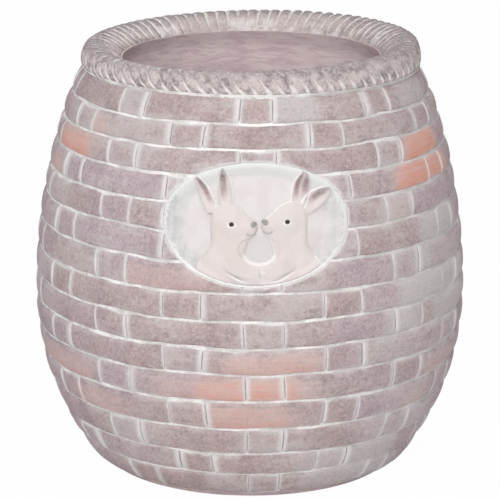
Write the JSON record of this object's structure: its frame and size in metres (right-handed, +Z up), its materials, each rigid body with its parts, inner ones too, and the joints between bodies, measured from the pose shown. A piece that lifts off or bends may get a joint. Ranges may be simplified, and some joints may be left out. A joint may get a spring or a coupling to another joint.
{
  "type": "flower pot",
  "caption": "Barrel-shaped planter faced with small brick tiles in white mortar, with a rope moulding on its rim, an oval plaque of two rabbits in relief and a drain plug.",
  "frame": {"origin": "centre of the foot on the surface that the pot stands on", "axes": "+Z up along the pot's axis, -Y to the front with the plaque, +X to the viewer's right"},
  "size_m": [0.2698, 0.2698, 0.2681],
  "materials": {
    "cast_core": "matt cast body with a thin lime wash",
    "mortar": "pale rubbed mortar",
    "brick_tile": "rough unglazed tile with worn whitewash and some bare terracotta",
    "rope": "cast rope moulding with whitewash in the grooves",
    "plaque": "pale whitewashed relief panel",
    "rabbit": "pale whitewashed relief with pink-grey inner ears",
    "plug_rubber": "matt black rubber"
  },
  "bodies": {
    "pot": {"pot_core": "cast_core", "mortar_bed": "mortar", "brick_course_01": "brick_tile", "brick_course_02": "brick_tile", "brick_course_03": "brick_tile", "brick_course_04": "brick_tile", "brick_course_05": "brick_tile", "brick_course_06": "brick_tile", "brick_course_07": "brick_tile", "brick_course_08": "brick_tile", "brick_course_09": "brick_tile", "brick_course_10": "brick_tile", "brick_course_11": "brick_tile", "brick_course_12": "brick_tile", "brick_course_13": "brick_tile", "brick_course_14": "brick_tile", "brick_course_15": "brick_tile", "rope_rim": "rope", "medallion_plaque": "plaque", "left_rabbit": "rabbit", "right_rabbit": "rabbit"},
    "plug": {"drain_plug": "plug_rubber"}
  },
  "joints": [
    {"name": "plug_lift", "type": "slide", "parent": "pot", "child": "plug", "axis": [0, 0, 1], "range_m": [0, 0.06]}
  ]
}
